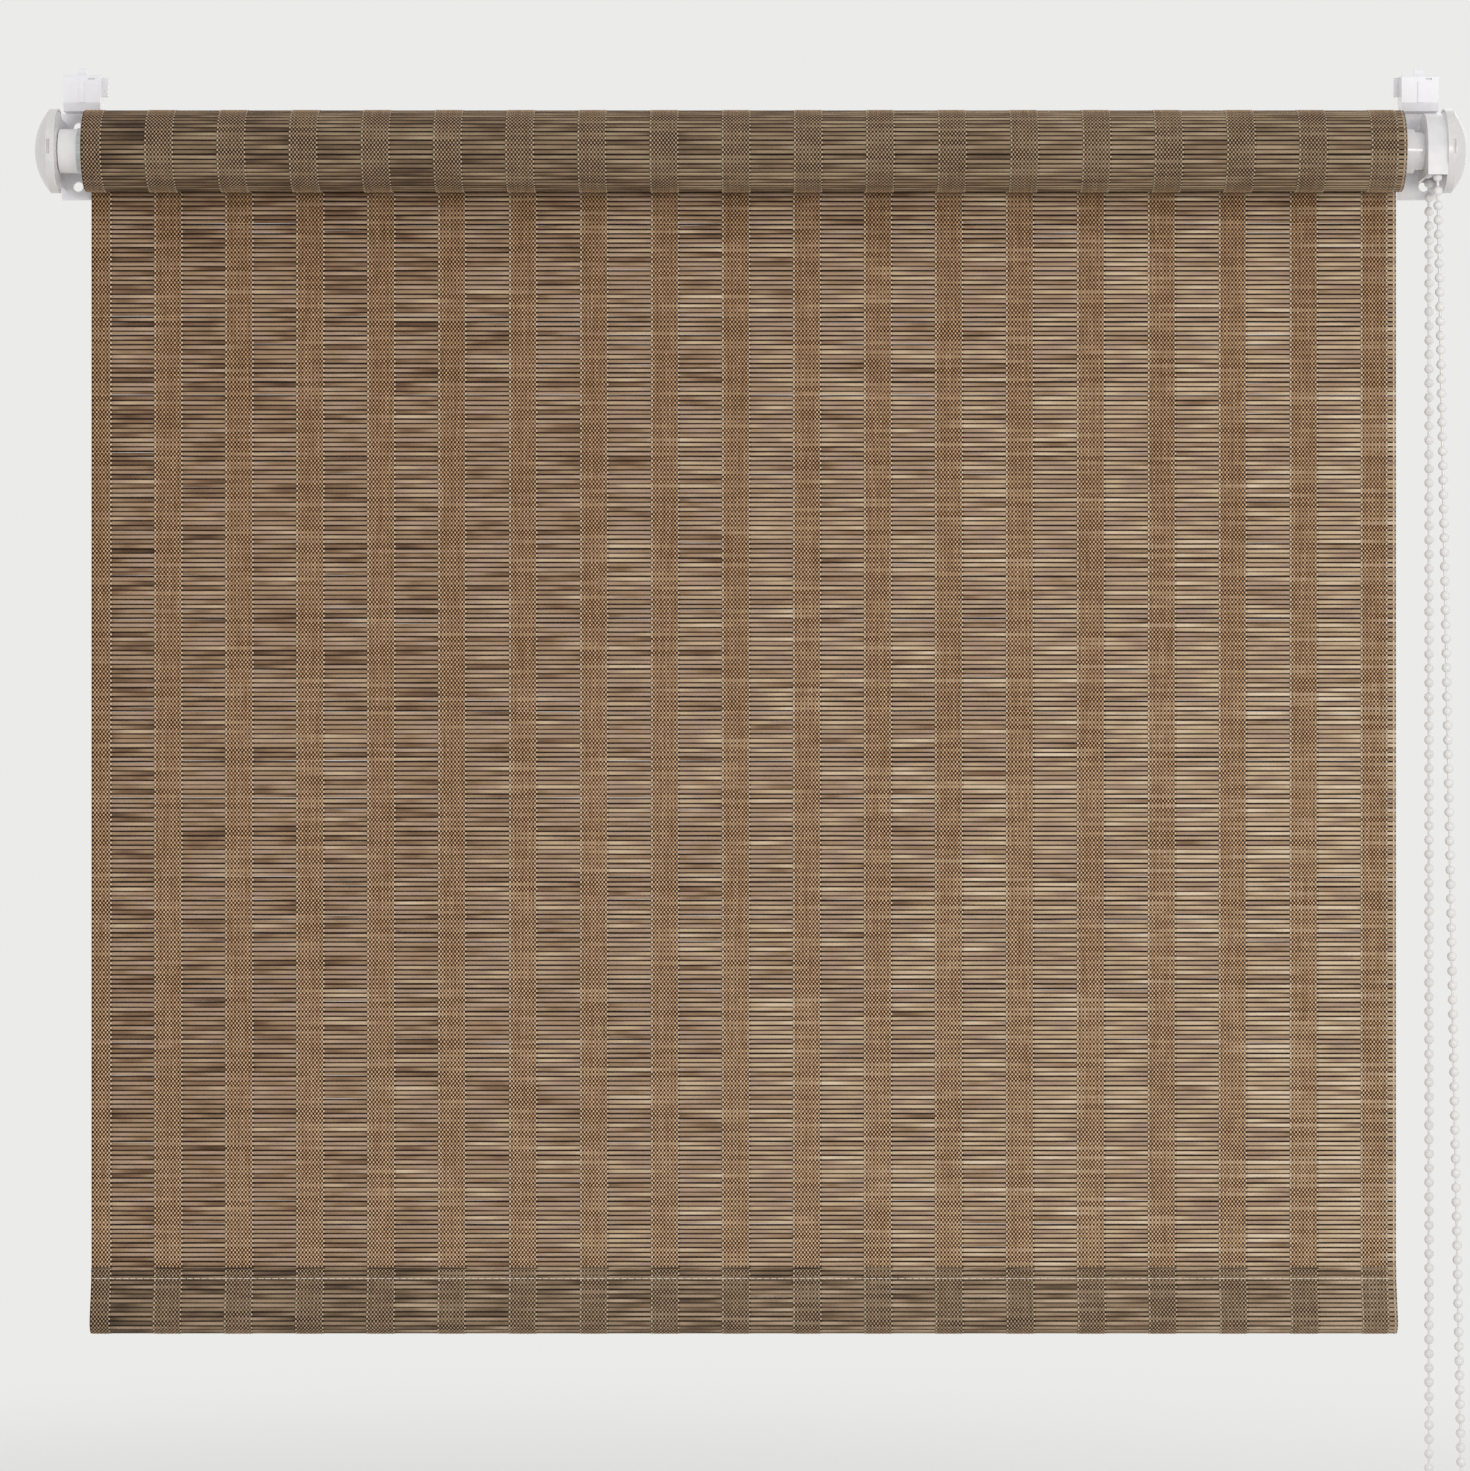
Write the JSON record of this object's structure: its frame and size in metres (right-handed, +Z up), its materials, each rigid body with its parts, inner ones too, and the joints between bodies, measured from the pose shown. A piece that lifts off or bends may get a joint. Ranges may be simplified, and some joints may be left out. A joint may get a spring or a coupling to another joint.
{
  "type": "roller blind",
  "caption": "Chain-driven roller blind with a bamboo-look woven cloth, domed end brackets with sash hooks, a bead chain and a weighted hem.",
  "frame": {"origin": "middle of the four bracket screw holes, on the brackets' back plane and level with the roll's axis", "axes": "+X along the roll towards the chain, +Y from the room into the sash, +Z up"},
  "size_m": [0.598, 0.0617, 0.6392],
  "materials": {
    "white_plastic": "satin moulded",
    "hook_metal": "white lacquer",
    "steel": "drawn wire and turned bar",
    "aluminium": "drawn, plain",
    "tape": "adhesive strip",
    "woven_cloth": "woven reeds and warp bands",
    "bead_plastic": "moulded beads on cord"
  },
  "bodies": {
    "frame": {"left_bracket": "white_plastic", "right_bracket": "white_plastic", "left_end_cap": "white_plastic", "right_end_cap": "white_plastic", "idle_pin": "steel", "drive_spindle": "white_plastic", "spindle_clip": "steel", "chain_housing": "white_plastic", "bead_chain": "bead_plastic", "drop_cloth": "woven_cloth"},
    "roll": {"idle_plug": "white_plastic", "roll_tube": "aluminium", "fixing_tape": "tape", "cloth_roll": "woven_cloth", "drive_core": "white_plastic", "chain_sprocket": "white_plastic", "clutch_spring": "steel"},
    "hem": {"hem_pocket": "woven_cloth", "hem_bar": "aluminium"},
    "left_hook": {"left_sash_hook": "hook_metal"},
    "right_hook": {"right_sash_hook": "hook_metal"}
  },
  "joints": [
    {"name": "roll_turn", "type": "hinge", "parent": "frame", "child": "roll", "pos_m": [0, -0.023, 0], "axis": [1, 0, 0], "range_deg": [0, 1440], "deforming": ["bead_chain"]},
    {"name": "hem_lift", "type": "slide", "parent": "frame", "child": "hem", "axis": [0, 0, 1], "range_m": [0, 0.4185], "deforming": ["drop_cloth"]},
    {"name": "left_hook_slide", "type": "slide", "parent": "frame", "child": "left_hook", "axis": [0, 1, 0], "range_m": [-0.004, 0.003]},
    {"name": "right_hook_slide", "type": "slide", "parent": "frame", "child": "right_hook", "axis": [0, 1, 0], "range_m": [-0.004, 0.003]}
  ],
  "couplings": [
    {"joint": "hem_lift", "follows": "roll_turn", "m_per_rad": 0.01665}
  ]
}
